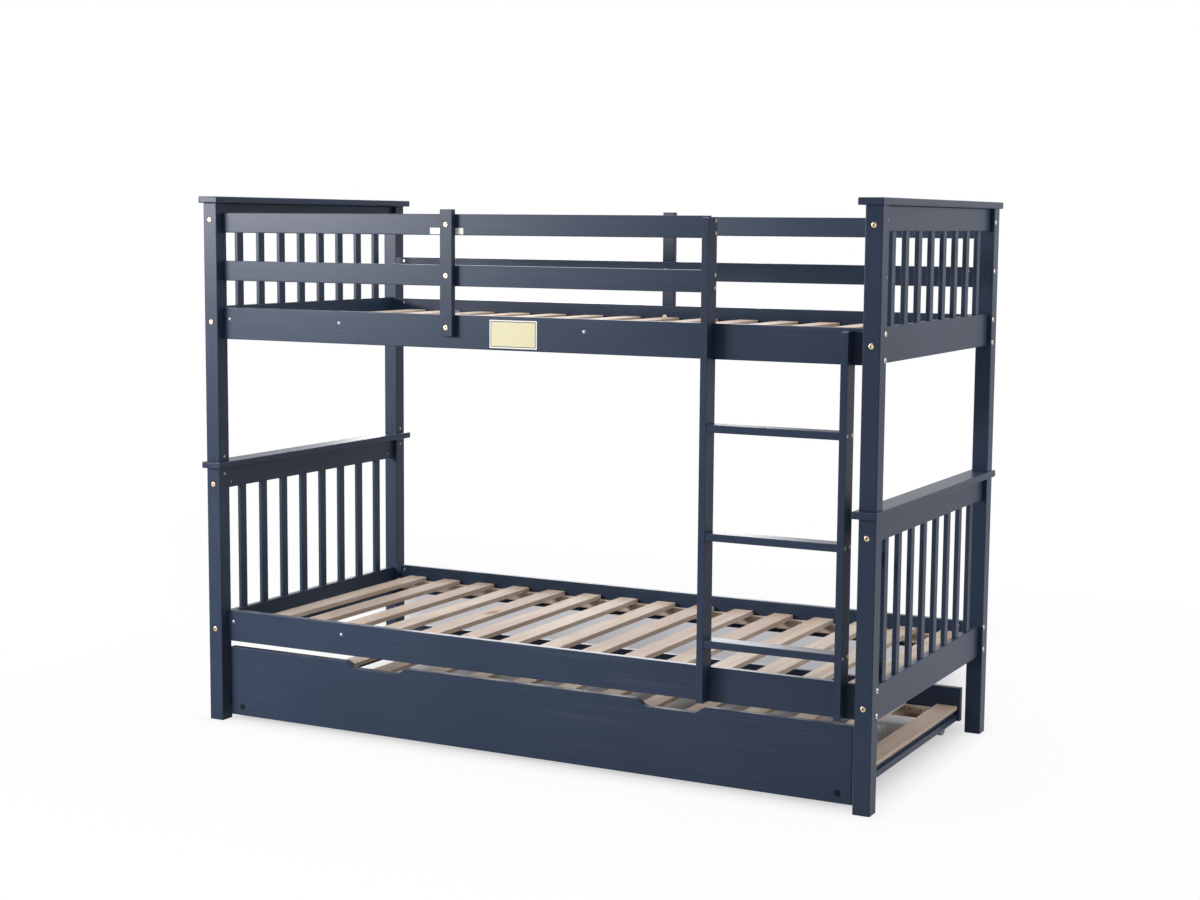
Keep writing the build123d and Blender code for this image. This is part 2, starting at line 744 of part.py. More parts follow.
# Bolts of the guard uprights and the sleeve nuts that close them on the inside
def make_upright_bolts():
    with BuildPart() as bolts:
        for side_name, side in sides.items():
            places = [(upright_places[side_name], z) for z in upright_bolt_heights]
            outer_y = side * (rail_face_y + upright_thickness)
            with BuildSketch(facing_y(outer_y)):
                with Locations(places):
                    Circle(bolt_head_diameter / 2)
            extrude(amount=-side * bolt_head_thickness)
            with BuildSketch(facing_y(outer_y)):
                with Locations(places):
                    Circle(bolt_diameter / 2)
            extrude(amount=side * (upright_thickness + guard_board_thickness - sleeve_tip_gap))
    save(bolts, "guard_upright_bolts")


def make_sleeve_nuts():
    with BuildPart() as nuts:
        for side_name, side in sides.items():
            x = upright_places[side_name]
            board_inner_y = side * (rail_face_y - guard_board_thickness)
            rail_seat = (side * half_bay_width, upright_bolt_heights[:1])
            board_seat = (board_inner_y, upright_bolt_heights[1:])
            for seat_y, heights in (rail_seat, board_seat):
                with BuildSketch(facing_y(seat_y)):
                    with Locations([(x, z) for z in heights]):
                        Circle(bolt_head_diameter / 2)
                extrude(amount=side * bolt_head_thickness)
                with BuildSketch(facing_y(seat_y)):
                    with Locations([(x, z) for z in heights]):
                        Circle(sleeve_diameter / 2)
                        Circle(bolt_diameter / 2 + thread_clearance, mode=Mode.SUBTRACT)
                extrude(amount=-side * sleeve_length)
    save(nuts, "guard_sleeve_nuts")


# Ladder screws: into the rungs, into the guard boards and through the side rails into the stiles
def make_ladder_screws():
    rung_screws = [
        (rung_middle_y + direction * screw_spread / 2, z) for z in rung_middles for direction in (-1, 1)
    ]
    guard_screws = [place for middle_z in guard_middles for place in guard_screw_places(middle_z)]
    seats = [
        (stile_left_x, 1, rung_screws),
        (stile_right_x + stile_thickness, -1, rung_screws),
        (stile_left_x + stile_thickness, -1, guard_screws),
    ]
    with BuildPart() as screws:
        for x, inward, places in seats:
            with BuildSketch(facing_x(x)):
                with Locations(places):
                    Circle(screw_head_diameter / 2)
            extrude(amount=inward * screw_head_depth)
            with BuildSketch(facing_x(x)):
                with Locations(places):
                    Circle(screw_diameter / 2)
            extrude(amount=inward * screw_length)
        places = ladder_rail_screw_places(lower) + ladder_rail_screw_places(upper)
        with BuildSketch(facing_y(-half_bay_width)):
            with Locations(places):
                Circle(screw_head_diameter / 2)
        extrude(amount=screw_head_depth)
        with BuildSketch(facing_y(-half_bay_width)):
            with Locations(places):
                Circle(screw_diameter / 2)
        extrude(amount=screw_length)
    save(screws, "ladder_screws")


# Pins between the lower and upper posts
def make_post_pins():
    with BuildPart() as pins:
        with BuildSketch(Plane.XY.offset(lower.head - pin_depth)):
            with GridLocations(2 * post_x, 2 * post_y, 2, 2):
                Circle(pin_diameter / 2)
        extrude(amount=cap_thickness + 2 * pin_depth)
    save(pins, "post_pins")


# Dowels beside the bolts of the end rails and guard boards, and under the upper caps
def make_frame_dowels():
    heights = [z for level in levels.values() for z in level.end_dowel_heights]
    end_dowels = [(end * post_x, z) for end in ends.values() for z in heights]
    with BuildPart() as dowels:
        for side in sides.values():
            with BuildSketch(facing_y(side * half_bay_width)):
                with Locations(end_dowels):
                    Circle(dowel_diameter / 2)
            extrude(amount=dowel_length / 2, both=True)
        for end in ends.values():
            with BuildSketch(facing_x(end * half_bay_length)):
                with Locations(guard_places(end, guard_dowel_heights)):
                    Circle(dowel_diameter / 2)
            extrude(amount=dowel_length / 2, both=True)
        with BuildSketch(Plane.XY.offset(upper.head + cap_dowel_depth)):
            with GridLocations(2 * post_x, 2 * post_y, 2, 2):
                Circle(dowel_diameter / 2)
        extrude(amount=-dowel_length)
    save(dowels, "frame_dowels")


# Front panel of the trundle, with two hand grips cut into its top edge
def make_trundle_panel():
    ramp_width = (grip_width - grip_floor_width) / 2
    panel_top = trundle_panel_rise + trundle_panel_height
    grip_floor_z = panel_top - grip_depth
    with BuildPart() as panel:
        with BuildSketch(facing_y(trundle_panel_back_y)):
            with Locations((0, trundle_panel_rise + trundle_panel_height / 2)):
                Rectangle(2 * trundle_half_length, trundle_panel_height)
            for direction in (-1, 1):
                middle_x = direction * grip_spacing / 2
                edges_x = [middle_x - grip_width / 2, middle_x + grip_width / 2]
                with BuildLine():
                    for edge_x, inward in zip(edges_x, (1, -1)):
                        turn = (edge_x + inward * ramp_width / 2, panel_top - grip_depth / 2)
                        floor = (edge_x + inward * ramp_width, grip_floor_z)
                        TangentArc((edge_x, panel_top), turn, tangent=(inward, 0))
                        TangentArc(floor, turn, tangent=(-inward, 0))
                    Line((edges_x[0] + ramp_width, grip_floor_z), (edges_x[1] - ramp_width, grip_floor_z))
                    Polyline(
                        (edges_x[0], panel_top),
                        (edges_x[0], panel_top + overrun),
                        (edges_x[1], panel_top + overrun),
                        (edges_x[1], panel_top),
                    )
                make_face(mode=Mode.SUBTRACT)
        extrude(amount=trundle_panel_thickness)
        front_edges = panel.faces().sort_by(Axis.Y)[0].outer_wire().edges()
        fillet(front_edges, board_edge_radius)
    save(panel, "trundle_front_panel")


# Low board at the back of the trundle
def make_trundle_back_board():
    with BuildPart() as board:
        with BuildSketch(facing_x(0)):
            middle_y = trundle_back_outer_y - trundle_back_thickness / 2
            with Locations((middle_y, trundle_frame_rise + trundle_back_height / 2)):
                RectangleRounded(trundle_back_thickness, trundle_back_height, board_edge_radius)
        extrude(amount=trundle_half_length, both=True)
    save(board, "trundle_back_board")


# Low rails between the panel and the back board, rebated along the outer top edge under the slats;
# the casters are fixed to their inner faces
def make_trundle_end_rail(end_name):
    end = ends[end_name]
    rebate_x = end * (trundle_rail_outer_x - trundle_rebate_depth)
    rebate_floor = trundle_deck_base - trundle_rebate_height
    outward = Align.MIN if end > 0 else Align.MAX
    with BuildPart() as rail:
        with BuildSketch(facing_y(trundle_middle_y)):
            middle_x = end * (trundle_rail_outer_x - trundle_rail_thickness / 2)
            with Locations((middle_x, trundle_frame_rise + trundle_rail_height / 2)):
                RectangleRounded(trundle_rail_thickness, trundle_rail_height, board_edge_radius)
            with Locations((rebate_x, rebate_floor)):
                Rectangle(
                    trundle_rebate_depth + overrun,
                    trundle_rebate_height + overrun,
                    align=(outward, Align.MIN),
                    mode=Mode.SUBTRACT,
                )
        extrude(amount=trundle_bay_width / 2, both=True)
    save(rail, f"trundle_end_rail_{end_name}")


# Cleats behind the panel and before the back board, which carry the trundle's slats
def make_trundle_cleats():
    reach = trundle_bay_width / 2 - trundle_rail_thickness / 2
    with BuildPart() as cleats:
        with BuildSketch(facing_x(0)):
            with Locations((trundle_middle_y, trundle_frame_rise + trundle_rail_height / 2)):
                with GridLocations(2 * reach, 0, 2, 1):
                    RectangleRounded(trundle_rail_thickness, trundle_rail_height, slat_edge_radius)
        extrude(amount=trundle_rail_inner_x, both=True)
    save(cleats, "trundle_cleats")


# Slats of the trundle
def make_trundle_slats():
    first_x = -trundle_half_length + trundle_slat_first_gap + trundle_slat_width / 2
    with BuildPart() as slats:
        with BuildSketch(facing_y(trundle_middle_y)):
            with Locations([
                (first_x + trundle_slat_pitch * i, trundle_deck_base + trundle_slat_thickness / 2)
                for i in range(trundle_slat_count)
            ]):
                RectangleRounded(trundle_slat_width, trundle_slat_thickness, slat_edge_radius)
        extrude(amount=trundle_bay_width / 2 - trundle_slat_end_gap, both=True)
    save(slats, "trundle_slats")


# Caster brackets: a plate on the end rail's inner face, a web over the wheel and a second cheek
def make_caster_brackets():
    axle_z = wheel_radius
    cheek_top = bracket_web_base + bracket_thickness
    with BuildPart() as brackets:
        for end in ends.values():
            cheeks = [
                (end * trundle_rail_inner_x, -end, bracket_plate_top),
                (end * bracket_inner_x, end, cheek_top),
            ]
            for y in caster_places.values():
                for x, direction, top in cheeks:
                    with BuildSketch(facing_x(x)):
                        with BuildLine():
                            left_top = (y - bracket_width / 2, top)
                            right_top = (y + bracket_width / 2, top)
                            left_web = (y - bracket_width / 2, bracket_web_base)
                            right_web = (y + bracket_width / 2, bracket_web_base)
                            left_foot = (y - bracket_foot_radius, axle_z)
                            right_foot = (y + bracket_foot_radius, axle_z)
                            Polyline(left_foot, left_web, left_top, right_top, right_web, right_foot)
                            ThreePointArc(right_foot, (y, axle_z - bracket_foot_radius), left_foot)
                        make_face()
                        with Locations((y, axle_z)):
                            Circle(axle_diameter / 2 + axle_clearance, mode=Mode.SUBTRACT)
                    extrude(amount=direction * bracket_thickness)
                with BuildSketch(Plane.XY.offset(bracket_web_base)):
                    with Locations((end * (trundle_rail_inner_x + bracket_inner_x) / 2, y)):
                        Rectangle(trundle_rail_inner_x - bracket_inner_x, bracket_width)
                extrude(amount=bracket_thickness)
    save(brackets, "caster_brackets")


# Riveted axles of the casters
def make_caster_axles():
    places = [(y, wheel_radius) for y in caster_places.values()]
    with BuildPart() as axles:
        for end in ends.values():
            for x, direction in ((end * trundle_rail_inner_x, end), (end * bracket_inner_x, -end)):
                with BuildSketch(facing_x(x)):
                    with Locations(places):
                        Circle(axle_head_diameter / 2)
                extrude(amount=direction * axle_head_thickness)
            with BuildSketch(facing_x(end * bracket_inner_x)):
                with Locations(places):
                    Circle(axle_diameter / 2)
            extrude(amount=end * (trundle_rail_inner_x - bracket_inner_x))
    save(axles, "caster_axles")


# Caster wheels: a tread, a dished web and a hub, turned about the axle
def make_caster_wheel(side_name, end_name):
    x = ends[end_name] * wheel_x
    y = caster_places[side_name]
    bore_radius = axle_diameter / 2 + wheel_bore_clearance
    half = wheel_width / 2
    with BuildPart() as wheel:
        with BuildSketch(Plane((x, y, wheel_radius), x_dir=(1, 0, 0), z_dir=(0, 0, 1))) as section:
            with BuildLine():
                Polyline(
                    (-half, bore_radius),
                    (-half, wheel_hub_radius),
                    (-half + wheel_dish_depth, wheel_hub_radius),
                    (-half + wheel_dish_depth, wheel_dish_radius),
                    (-half, wheel_dish_radius),
                    (-half, wheel_radius),
                    (half, wheel_radius),
                    (half, wheel_dish_radius),
                    (half - wheel_dish_depth, wheel_dish_radius),
                    (half - wheel_dish_depth, wheel_hub_radius),
                    (half, wheel_hub_radius),
                    (half, bore_radius),
                    close=True,
                )
            make_face()
            fillet(section.vertices().group_by(Axis.Y)[-1], wheel_edge_radius)
        revolve(axis=Axis((x, y, wheel_radius), (1, 0, 0)))
    save(wheel, f"caster_wheel_{side_name}_{end_name}")


for level_name in levels:
    for end_name in ends:
        for side_name in sides:
            make_post(level_name, end_name, side_name)
        make_cap(level_name, end_name)
        make_end_rail(level_name, end_name, "bottom")
        make_end_rail(level_name, end_name, "top")
        make_end_slats(level_name, end_name)
    for side_name in sides:
        make_side_rail(level_name, side_name)
    make_bed_slats(level_name)
make_bed_cleats()

for side_name in sides:
    for height_name in guard_bases:
        make_guard_board(side_name, height_name)
    make_guard_upright(side_name)

for end_name in ends:
    make_ladder_stile(end_name)
make_ladder_rungs()

make_end_rail_bolts()
make_side_rail_bolts()
make_barrel_nuts()
make_upright_bolts()
make_sleeve_nuts()
make_ladder_screws()
make_post_pins()
make_frame_dowels()

make_trundle_panel()
make_trundle_back_board()
for end_name in ends:
    make_trundle_end_rail(end_name)
make_trundle_cleats()
make_trundle_slats()
make_caster_brackets()
make_caster_axles()
for side_name in sides:
    for end_name in ends:
        make_caster_wheel(side_name, end_name)
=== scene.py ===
# %% [markdown]
# # A painted bunk bed with a trundle
# The bed arrives as a finished construction: posts, rails, slats, bolts and casters, each an object of its
# own in real metres. What it lacks is its look. This lesson dresses it: satin paint that lets a little grain
# through, bare pine slats with knots, plated bolts, and the small hardware that is too fine for the
# construction. Then it is lit and seen from where the photograph was taken.

# %% Load the bed
import math

import bmesh
import bpy
from mathutils import Matrix, Vector


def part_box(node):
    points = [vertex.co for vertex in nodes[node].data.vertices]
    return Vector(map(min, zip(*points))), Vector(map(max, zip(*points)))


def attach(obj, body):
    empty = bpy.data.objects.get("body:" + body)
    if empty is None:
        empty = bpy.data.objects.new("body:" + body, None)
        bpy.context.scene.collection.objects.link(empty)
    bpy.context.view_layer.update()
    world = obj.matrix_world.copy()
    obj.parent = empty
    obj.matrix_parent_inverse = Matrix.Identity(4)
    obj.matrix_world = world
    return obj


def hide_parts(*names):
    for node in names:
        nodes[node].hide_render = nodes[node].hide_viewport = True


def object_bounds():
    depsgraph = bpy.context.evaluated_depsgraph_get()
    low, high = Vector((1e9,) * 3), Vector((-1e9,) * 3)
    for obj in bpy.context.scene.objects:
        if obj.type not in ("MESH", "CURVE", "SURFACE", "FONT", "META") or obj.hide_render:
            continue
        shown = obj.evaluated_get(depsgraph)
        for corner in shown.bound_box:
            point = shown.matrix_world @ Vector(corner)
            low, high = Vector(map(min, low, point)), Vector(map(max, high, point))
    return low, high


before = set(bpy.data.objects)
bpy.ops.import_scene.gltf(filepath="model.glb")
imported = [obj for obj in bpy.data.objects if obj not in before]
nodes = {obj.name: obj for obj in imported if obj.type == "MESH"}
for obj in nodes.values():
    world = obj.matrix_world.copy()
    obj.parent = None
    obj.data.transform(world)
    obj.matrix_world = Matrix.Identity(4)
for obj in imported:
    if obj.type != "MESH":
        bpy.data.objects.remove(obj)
cad_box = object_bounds()
print("pieces:", len(nodes))
print("from", [round(c, 3) for c in cad_box[0]], "to", [round(c, 3) for c in cad_box[1]])

# %% [markdown]
# ## Places read from the bed itself
# Every detail that is added later has to sit on the wood, so its place comes from the boxes of the finished
# pieces and not from typed numbers. A box gives the lowest and the highest corner of a piece.

# %% Planes and edges of the frame
X, Y, Z = range(3)


def box(name):
    """The lowest and the highest corner of a piece."""
    low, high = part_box(name)
    return Vector(low), Vector(high)


rail_low, rail_high = box("upper_side_rail_front")
lower_rail_high = box("lower_side_rail_front")[1]
panel_low, panel_high = box("trundle_front_panel")
board_low, board_high = box("guard_board_front_top")
upright_low, upright_high = box("guard_upright_front")
post_low, post_high = box("lower_post_front_left")
print("posts", round((post_high.x - post_low.x) * 1000), "mm wide")
print("front rails at y", round(rail_low.y, 3), "up to z", round(lower_rail_high.z, 3), round(rail_high.z, 3))

# %% [markdown]
# ## Writing shader maths as sums
# A material is a graph of nodes. Drawn by hand, every sum needs a Math node and two wires. The class below
# wraps one output of a node, and its operators add the Math nodes, so `0.5 + 0.2 * grain` reads as it would
# on paper. Of two values, `a | b` gives the larger.

# %% Sockets that take part in sums
class Value:
    """One output of a shader node, on which sums add Math nodes."""

    def __init__(self, graph, socket):
        self.graph = graph
        self.socket = socket

    def maths(self, operation, first, second):
        return self.graph.node("ShaderNodeMath", {0: first, 1: second}, operation=operation)

    def __add__(self, other):
        return self.maths("ADD", self, other)

    def __radd__(self, other):
        return self.maths("ADD", other, self)

    def __sub__(self, other):
        return self.maths("SUBTRACT", self, other)

    def __rsub__(self, other):
        return self.maths("SUBTRACT", other, self)

    def __mul__(self, other):
        return self.maths("MULTIPLY", self, other)

    def __rmul__(self, other):
        return self.maths("MULTIPLY", other, self)

    def __or__(self, other):
        return self.maths("MAXIMUM", self, other)

    def __ror__(self, other):
        return self.maths("MAXIMUM", other, self)


# %% [markdown]
# ## The graph and its nodes
# The second class holds the graph. One method adds any node, and the rest are short names for the few that
# nearly every finish of this bed needs: coordinates, noise, a soft step, a blend of two colours and a bump.
# Wood has a grain, so one of them draws a pattern out along an axis.

# %% A finish and the nodes that it is made of
PLAIN_SCALE = (1.0, 1.0, 1.0)


class Finish:
    """A material, or the world, being put together."""

    def __init__(self, name, holder=bpy.data.materials):
        self.material = holder.new(name)
        self.material.use_nodes = True
        self.material.node_tree.nodes.clear()

    def node(self, kind, inputs, output=0, **settings):
        """Adds a node: its settings first, then the values or links of its sockets."""
        made = self.material.node_tree.nodes.new(kind)
        for name, setting in settings.items():
            setattr(made, name, setting)
        for name, given in inputs.items():
            if isinstance(given, Value):
                self.material.node_tree.links.new(given.socket, made.inputs[name])
            else:
                made.inputs[name].default_value = given
        return Value(self, made.outputs[output])

    def place(self, scale=PLAIN_SCALE):
        """Object coordinates in metres, multiplied along each axis."""
        metres = self.node("ShaderNodeTexCoord", {}, output="Object")
        return self.node("ShaderNodeMapping", {"Vector": metres, "Scale": scale})

    def grain_place(self, axis, across, along):
        """Coordinates for a pattern that is drawn out along one axis."""
        scale = [across, across, across]
        scale[axis] = along
        return self.place(scale)

    def noise(self, place, scale, detail=3.0, roughness=0.5, distortion=0.0):
        return self.node("ShaderNodeTexNoise", {
            "Vector": place, "Scale": scale, "Detail": detail, "Roughness": roughness,
            "Distortion": distortion,
        })

    def ramp(self, factor, low, high):
        """0 below low, 1 above high and smooth between."""
        inputs = {"Value": factor, "From Min": low, "From Max": high}
        return self.node("ShaderNodeMapRange", inputs, interpolation_type="SMOOTHSTEP")

    def mix(self, factor, first, second):
        """A colour between two, by factor. Sockets 6 and 7 and output 2 are the Mix node's colours."""
        inputs = {"Factor": factor, 6: first, 7: second}
        return self.node("ShaderNodeMix", inputs, output=2, data_type="RGBA")

    def rounded(self, radius):
        """A normal that turns smoothly across the edges of the wood."""
        return self.node("ShaderNodeBevel", {"Radius": radius}, samples=4)

    def bump(self, height, distance, strength=1.0, normal=None):
        inputs = {"Height": height, "Distance": distance, "Strength": strength}
        if normal:
            inputs["Normal"] = normal
        return self.node("ShaderNodeBump", inputs)

    def finish(self, **sockets):
        """Closes the material with a Principled shader; underscores stand for spaces."""
        inputs = {name.replace("_", " "): given for name, given in sockets.items()}
        return self.shown(self.node("ShaderNodeBsdfPrincipled", inputs))

    def shown(self, shader, output="ShaderNodeOutputMaterial"):
        """Makes a shader the surface of the material."""
        out = self.material.node_tree.nodes.new(output)
        self.material.node_tree.links.new(shader.socket, out.inputs["Surface"])
        return self.material


# %% [markdown]
# ## Satin paint over pine
# The frame is sprayed with a dark slate-blue paint. From a step away it looks plain, but raking light shows
# the grain beneath as faint streaks and fine pale lines along each board, the sheen breaks up a little, and
# the edges are rubbed paler; that paler edge colour is also a painted highlight, for the light that the
# rounded edges catch. A picture of painted wood would repeat and would need unwrapping, so noise drawn out
# along the grain does it. One function makes the paint, and it is called three times, because grain runs
# along the
# length of a board: a rail's along X, an end rail's along Y and a post's along Z.

# %% Paint, in three grain directions
PAINT_COLOUR = (0.0190, 0.0315, 0.0590, 1.0)
PAINT_PALE = (0.0237, 0.0375, 0.0688, 1.0)
PAINT_LINE = (0.0560, 0.0740, 0.1120, 1.0)
PAINT_WORN_AND_HIGHLIGHT = (0.0700, 0.0900, 0.1300, 1.0)
PAINT_LINE_SHARE = 0.4
PAINT_WORN_AND_HIGHLIGHT_SHARE = 0.35
PAINT_EDGE_RADIUS = 0.0025
PAINT_RELIEF = 0.0004
PAINT_SHINE = 0.18


def paint(axis):
    finish = Finish(f"slate_paint_grain_{'XYZ'[axis]}")
    streak_place = finish.grain_place(axis, across=75.0, along=1.3)
    streaks = finish.noise(streak_place, scale=4.0, detail=4.0, roughness=0.6, distortion=0.15)
    pores = finish.noise(finish.grain_place(axis, across=210.0, along=5.0), scale=3.0, detail=2.0)
    line_place = finish.grain_place(axis, across=330.0, along=2.2)
    lines = finish.noise(line_place, scale=1.0, detail=3.0, roughness=0.7)
    cloud = finish.noise(finish.place(), scale=2.3, detail=2.0)
    tone = finish.ramp(0.5 * streaks + 0.5 * cloud, low=0.34, high=0.68)
    colour = finish.mix(tone, PAINT_COLOUR, PAINT_PALE)
    fine_lines = finish.ramp(lines, low=0.52, high=0.70) * finish.ramp(cloud, low=0.42, high=0.62)
    colour = finish.mix(PAINT_LINE_SHARE * fine_lines, colour, PAINT_LINE)
    rounded = finish.rounded(PAINT_EDGE_RADIUS)
    straight = finish.node("ShaderNodeNewGeometry", {}, output="Normal")
    facing = {0: rounded, 1: straight}
    flatness = finish.node("ShaderNodeVectorMath", facing, output="Value", operation="DOT_PRODUCT")
    # Edges, where the rounded normal leaves the flat one, are painted paler in patches: rubbed wear, and also
    # a painted highlight along the rounded edges.
    edge = finish.ramp(1.0 - flatness, low=0.01, high=0.22)
    worn_and_highlit_edge = edge * finish.ramp(cloud + 0.3 * pores, low=0.35, high=0.75)
    colour = finish.mix(PAINT_WORN_AND_HIGHLIGHT_SHARE * worn_and_highlit_edge, colour, PAINT_WORN_AND_HIGHLIGHT)
    height = 0.7 * streaks + 0.3 * finish.ramp(pores, low=0.35, high=0.6)
    normal = finish.bump(height, PAINT_RELIEF, strength=0.18, normal=rounded)
    roughness = 0.31 + 0.08 * streaks
    return finish.finish(
        Base_Color=colour, Roughness=roughness, Normal=normal, Specular_IOR_Level=PAINT_SHINE
    )


paints = [paint(axis) for axis in (X, Y, Z)]
print("paint:", [made.name for made in paints])

# %% [markdown]
# ## Bare pine
# The slats and cleats are planed pine, left bare. Pine shows three things: broad bands of early and late wood
# along the board, fine fibre lines, and knots, round and red-brown, that push the bands aside. The tone also
# drifts from board to board. The bands come from a noise drawn out along the board. Knots are Voronoi cells,
# drawn out a little less, of which only the few with a high random value get a dark spot.

# %% Pine, in two grain directions
PINE_LIGHT = (0.540, 0.450, 0.375, 1.0)
PINE_BAND = (0.410, 0.312, 0.236, 1.0)
PINE_PINK = (0.385, 0.285, 0.228, 1.0)
PINE_KNOT = (0.205, 0.088, 0.044, 1.0)
PINE_BAND_SHARE = 0.75
PINE_PINK_SHARE = 0.75
PINE_EDGE_RADIUS = 0.0015
PINE_RELIEF = 0.0004
PINE_SHINE = 0.35
KNOT_CELLS = 11.0
KNOT_SIZE, KNOT_SHARE = 0.24, 0.9
HALO_SIZE, HALO_SHARE = 0.52, 0.45


def pine(axis):
    finish = Finish(f"bare_pine_grain_{'XYZ'[axis]}")
    cells = {"Vector": finish.grain_place(axis, across=1.0, along=0.42), "Scale": KNOT_CELLS}
    from_knot = finish.node("ShaderNodeTexVoronoi", cells, output="Distance")
    lot = finish.node("ShaderNodeTexVoronoi", cells, output="Color")
    chosen = finish.ramp(finish.node("ShaderNodeSeparateColor", {"Color": lot}), low=0.80, high=0.82)
    swirl = chosen * finish.ramp(1.0 - from_knot, low=0.45, high=1.0)
    band_place = finish.grain_place(axis, across=1.0, along=0.045)
    bands = finish.noise(band_place, scale=46.0, detail=4.0, roughness=0.55, distortion=0.7)
    fibres = finish.noise(finish.grain_place(axis, across=1.0, along=0.02), scale=420.0, detail=2.0)
    tones = finish.noise(finish.grain_place(axis, across=1.0, along=0.12), scale=9.0, detail=0.0)
    late_wood = finish.ramp(bands + 0.25 * swirl, low=0.47, high=0.66)
    colour = finish.mix(PINE_BAND_SHARE * late_wood, PINE_LIGHT, PINE_BAND)
    colour = finish.mix(PINE_PINK_SHARE * finish.ramp(tones, low=0.35, high=0.70), colour, PINE_PINK)
    halo = chosen * finish.ramp(HALO_SIZE - from_knot, low=0.0, high=0.35)
    knot = chosen * finish.ramp(KNOT_SIZE - from_knot, low=0.0, high=0.12)
    colour = finish.mix(HALO_SHARE * halo, colour, PINE_BAND)
    colour = finish.mix(KNOT_SHARE * knot, colour, PINE_KNOT)
    height = 0.6 * bands + 0.4 * fibres
    normal = finish.bump(height, PINE_RELIEF, strength=0.35, normal=finish.rounded(PINE_EDGE_RADIUS))
    roughness = 0.58 + 0.14 * fibres
    return finish.finish(
        Base_Color=colour, Roughness=roughness, Normal=normal, Specular_IOR_Level=PINE_SHINE
    )


pines = {axis: pine(axis) for axis in (X, Y)}
print("pine:", [made.name for made in pines.values()])

# %% [markdown]
# ## Plated steel and moulded plastic
# The hardware is mass made: bronze-plated heads on the front faces, zinc on the rest, grey nylon wheels.
# Plating is bright but never even, so the roughness wanders and small stains darken it. Plastic gets a fine
# moulded grain and pale scuffs. Each kind is one function, and a colour and its stain make a finish of it.

# %% Metals and plastic
PLATING_RELIEF = 0.00008
PLASTIC_RELIEF = 0.0001


def plated(name, colour, stain, roughness):
    finish = Finish(name)
    smear = finish.noise(finish.place(), scale=260.0, detail=3.0)
    spots = finish.ramp(finish.noise(finish.place(), scale=900.0, detail=2.0), low=0.55, high=0.75)
    stained = 0.55 * finish.ramp(smear, low=0.35, high=0.7) + 0.25 * spots
    tint = finish.mix(stained, colour, stain)
    normal = finish.bump(smear, PLATING_RELIEF, strength=0.4)
    return finish.finish(Base_Color=tint, Metallic=1.0, Roughness=roughness + 0.18 * smear, Normal=normal)


def moulded(name, colour, scuffed, roughness, shine=0.5):
    finish = Finish(name)
    grain = finish.noise(finish.place(), scale=1400.0, detail=2.0)
    scuff = finish.ramp(finish.noise(finish.place(), scale=130.0, detail=4.0), low=0.5, high=0.8)
    tint = finish.mix(0.6 * scuff, colour, scuffed)
    normal = finish.bump(grain, PLASTIC_RELIEF, strength=0.35)
    return finish.finish(
        Base_Color=tint, Roughness=roughness + 0.12 * scuff, Normal=normal, Specular_IOR_Level=shine
    )


copper = plated("bronze_plating", (0.78, 0.60, 0.40, 1.0), (0.46, 0.31, 0.18, 1.0), 0.26)
zinc = plated("zinc_plating", (0.63, 0.61, 0.50, 1.0), (0.38, 0.37, 0.28, 1.0), 0.30)
dull_zinc = plated("dull_zinc", (0.36, 0.40, 0.46, 1.0), (0.22, 0.25, 0.30, 1.0), 0.42)
# The black steel is painted shade, for the hollows of the key sockets and the screw holes of the cleats.
painted_shade_steel = plated("painted_shade_black_steel", (0.030, 0.027, 0.026, 1.0), (0.012, 0.010, 0.010, 1.0), 0.45)
nylon = moulded("grey_nylon", (0.300, 0.300, 0.295, 1.0), (0.400, 0.400, 0.390, 1.0), 0.46)
cap_plastic = moulded(
    "dark_cap_plastic", (0.006, 0.009, 0.016, 1.0), (0.014, 0.018, 0.028, 1.0), 0.60, shine=0.12
)
plug_plastic = moulded("slate_plug_plastic", (0.110, 0.120, 0.150, 1.0), (0.160, 0.170, 0.190, 1.0), 0.44)
hardware = (copper, zinc, dull_zinc, painted_shade_steel, nylon, cap_plastic, plug_plastic)
print("hardware:", [made.name for made in hardware])

# %% [markdown]
# ## Each board gets the finish of its grain
# A board's longest side is the direction of its grain, and its box knows which side that is. The groups of
# slats, rungs and cleats are exceptions: their box is as wide as the bed, so their direction is named.

# %% Assign the finishes to the pieces
GROUPED_GRAIN = {
    "bed_cleats": X, "trundle_cleats": X, "ladder_rungs": X,
    "lower_bed_slats": Y, "upper_bed_slats": Y, "trundle_slats": Y,
    "lower_end_slats_left": Z, "lower_end_slats_right": Z,
    "upper_end_slats_left": Z, "upper_end_slats_right": Z,
}
PINE_PIECES = (
    "bed_cleats", "trundle_cleats", "lower_bed_slats", "upper_bed_slats", "trundle_slats", "frame_dowels",
)
COPPER_PIECES = ("end_rail_bolts", "guard_upright_bolts")
ZINC_PIECES = (
    "side_rail_bolts", "barrel_nuts", "guard_sleeve_nuts", "ladder_screws", "post_pins", "caster_brackets",
    "caster_axles",
)


def grain_axis(name):
    low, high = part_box(name)
    lengths = [high[i] - low[i] for i in range(3)]
    return GROUPED_GRAIN.get(name, lengths.index(max(lengths)))


def finish_of(name):
    if name in COPPER_PIECES:
        return copper
    if name in ZINC_PIECES:
        return zinc
    if name.startswith("caster_wheel"):
        return nylon
    if name in PINE_PIECES:
        return pines.get(grain_axis(name), pines[Y])
    return paints[grain_axis(name)]


for name, piece in nodes.items():
    for slot in piece.material_slots:
        slot.material = finish_of(name)
print("finished", len(nodes), "pieces,", sum(name in PINE_PIECES for name in nodes), "of them pine")

# %% [markdown]
# ## Turned hardware
# Bolts, studs and plugs are round, so each is one half section turned about its axis, as on a lathe. A
# section is a short list of places along the axis with their radii, from the middle of the outer face to the
# hidden tip. `spin` sweeps it through a full turn, and the doubled points on the axis are merged afterwards.
# The socket for the key is turned too: its two rings start round and are then drawn in to the flats of a
# hexagon.

# %% Turning and placing
SAME_POINT = 0.00001
SMOOTH_BELOW = math.radians(32.0)


